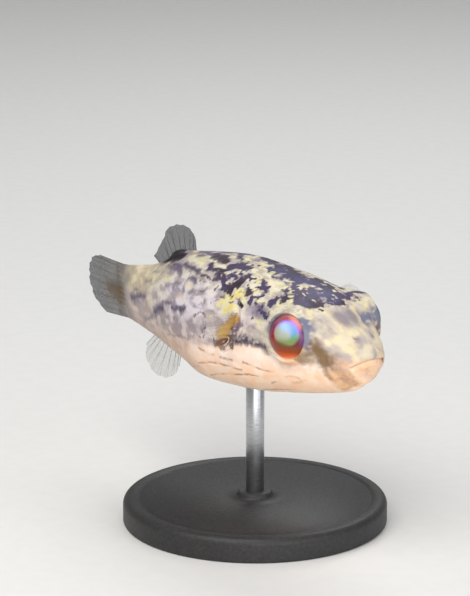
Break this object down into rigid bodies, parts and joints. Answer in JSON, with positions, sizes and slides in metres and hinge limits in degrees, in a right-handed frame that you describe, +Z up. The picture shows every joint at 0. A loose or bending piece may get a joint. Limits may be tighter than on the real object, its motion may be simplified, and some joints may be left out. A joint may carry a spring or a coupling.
{
  "type": "freshwater pufferfish model",
  "caption": "Life-size still model of a small freshwater pufferfish with a blotched back and red eyes, swimming, held on a plain round display stand.",
  "frame": {"origin": "centre of the stand's underside, on the surface it stands on", "axes": "+X along the fish, towards its snout; +Y to the fish's left; +Z up"},
  "size_m": [0.0483, 0.026, 0.0277],
  "materials": {
    "skin_back": "wet satin skin, dark violet-grey blotches over cream-yellow",
    "skin_belly": "wet satin skin, pale peach with fine dark creases",
    "fin": "thin translucent membrane over soft rays",
    "eye": "clear cornea over a red iris and a blue-green pupil",
    "stand_paint": "fine matt black powder coat",
    "stand_steel": "ground stainless wire"
  },
  "bodies": {
    "root": {"snout": "skin_back", "lower_jaw": "skin_belly", "head": "skin_back", "trunk": "skin_back", "belly": "skin_belly", "tail_stalk": "skin_back", "eye_right": "eye", "eye_left": "eye", "dorsal_fin": "fin", "anal_fin": "fin", "caudal_fin": "fin", "pectoral_fin_right": "fin", "pectoral_fin_left": "fin", "stand_base": "stand_paint", "stand_rod": "stand_steel"}
  },
  "joints": []
}
